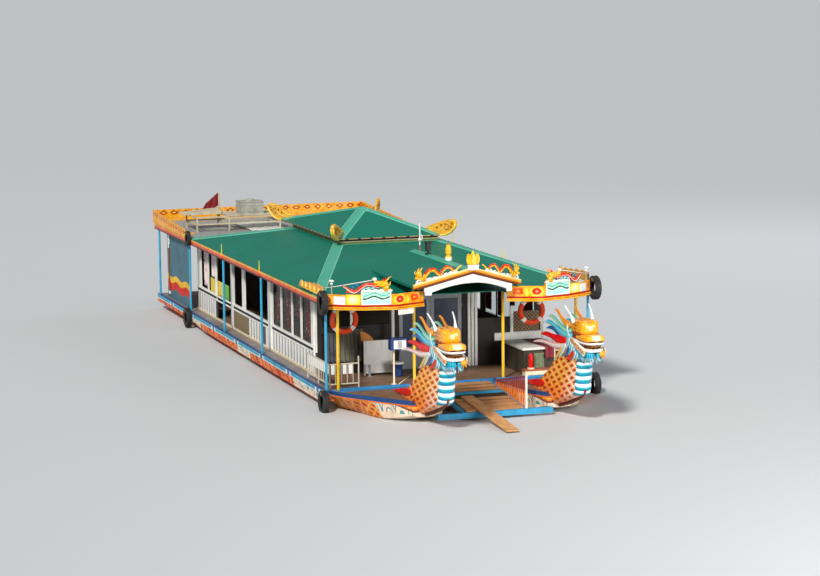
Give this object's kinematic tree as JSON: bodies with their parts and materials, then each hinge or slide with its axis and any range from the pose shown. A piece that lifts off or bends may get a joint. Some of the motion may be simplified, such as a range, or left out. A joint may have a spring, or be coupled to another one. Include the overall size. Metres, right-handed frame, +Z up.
{
  "type": "twin-hull dragon boat",
  "caption": "River passenger boat on twin hulls whose bows rise into painted dragon heads, with a long windowed cabin under a green two-tier roof and a carved front porch",
  "frame": {"origin": "amidships on the centreline, at the waterline", "axes": "+X towards the bow, +Y to port, +Z up"},
  "size_m": [22.59, 6.8506, 4.302],
  "materials": {
    "painted_hull": "worn orange gloss paint",
    "painted_deck": "worn brown deck paint",
    "painted_blue_steel": "worn light blue gloss paint",
    "planks": "bare weathered planks",
    "painted_carving": "bright orange gloss paint",
    "white_paint": "worn white gloss paint",
    "window_glass": "dark tinted",
    "grey_paint": "weathered grey paint",
    "green_roof": "deep green roofing sheet",
    "khaki_flashing": "dusty khaki",
    "banner_cloth": "grey-blue woven sheet",
    "yellow_paint": "yellow gloss paint",
    "rail_steel": "worn steel",
    "maroon_paint": "maroon painted board",
    "machinery_grey": "grey machinery paint",
    "bronze": "cast bronze",
    "rubber": "worn tyre rubber",
    "red_paint": "worn red gloss paint",
    "red_foam": "orange-red skin"
  },
  "bodies": {
    "boat": {"hull_port": "painted_hull", "hull_starboard": "painted_hull", "dragon_neck_port": "painted_hull", "dragon_neck_starboard": "painted_hull", "main_deck": "painted_deck", "rub_rail_port": "painted_blue_steel", "rub_rail_starboard": "painted_blue_steel", "landing_frame": "painted_blue_steel", "side_frame_port": "painted_blue_steel", "side_frame_starboard": "painted_blue_steel", "landing_boards": "planks", "boarding_plank": "planks", "landing_rail": "red_paint", "dragon_head_port": "painted_carving", "dragon_head_starboard": "painted_carving", "gable_front": "painted_carving", "front_fascia_port": "painted_carving", "front_fascia_starboard": "painted_carving", "aft_fascia": "painted_carving", "cabin_side_port": "white_paint", "cabin_side_starboard": "white_paint", "deck_partition": "white_paint", "oar": "white_paint", "roof_rack": "white_paint", "window_glass_port": "window_glass", "window_glass_starboard": "window_glass", "cabin_front_wall": "grey_paint", "cabin_rear_wall": "grey_paint", "aft_roof_deck": "grey_paint", "water_tank": "grey_paint", "lower_roof": "green_roof", "upper_roof": "green_roof", "porch_roof": "green_roof", "clerestory": "khaki_flashing", "banner_panel_port": "banner_cloth", "banner_panel_starboard": "banner_cloth", "front_post_outer_port": "yellow_paint", "front_post_outer_starboard": "yellow_paint", "front_post_inner_port": "yellow_paint", "front_post_inner_starboard": "yellow_paint", "deck_railing_port": "rail_steel", "deck_railing_starboard": "rail_steel", "deck_locker": "maroon_paint", "engine_port": "machinery_grey", "engine_starboard": "machinery_grey", "fender_bow_port": "rubber", "fender_bow_starboard": "rubber", "fender_stern_port": "rubber", "fender_stern_starboard": "rubber", "fender_corner_port": "rubber", "fender_corner_starboard": "rubber", "fender_eave": "rubber", "life_ring_port": "red_foam", "life_ring_starboard": "red_foam"},
    "front_door_port": {"front_door_port": "white_paint"},
    "front_door_starboard": {"front_door_starboard": "white_paint"},
    "propeller_port": {"propeller_port": "bronze"},
    "propeller_starboard": {"propeller_starboard": "bronze"},
    "rudder_port": {"rudder_port": "machinery_grey"},
    "rudder_starboard": {"rudder_starboard": "machinery_grey"}
  },
  "joints": [
    {"name": "front_door_port_hinge", "type": "hinge", "parent": "boat", "child": "front_door_port", "pos_m": [4.847, 0.8025, 0], "axis": [0, 0, 1], "range_deg": [0, 95]},
    {"name": "front_door_starboard_hinge", "type": "hinge", "parent": "boat", "child": "front_door_starboard", "pos_m": [4.847, -0.8025, 0], "axis": [0, 0, -1], "range_deg": [0, 95]},
    {"name": "propeller_port_spin", "type": "hinge", "parent": "boat", "child": "propeller_port", "pos_m": [-10.35, 1.6, -0.21], "axis": [1, 0, 0], "continuous": true},
    {"name": "propeller_starboard_spin", "type": "hinge", "parent": "boat", "child": "propeller_starboard", "pos_m": [-10.35, -1.6, -0.21], "axis": [1, 0, 0], "continuous": true},
    {"name": "rudder_port_turn", "type": "hinge", "parent": "boat", "child": "rudder_port", "pos_m": [-10.72, 1.6, 0], "axis": [0, 0, 1], "range_deg": [-35, 35]},
    {"name": "rudder_starboard_turn", "type": "hinge", "parent": "boat", "child": "rudder_starboard", "pos_m": [-10.72, -1.6, 0], "axis": [0, 0, 1], "range_deg": [-35, 35]}
  ],
  "couplings": [
    {"joint": "rudder_starboard_turn", "follows": "rudder_port_turn", "ratio": 1}
  ]
}
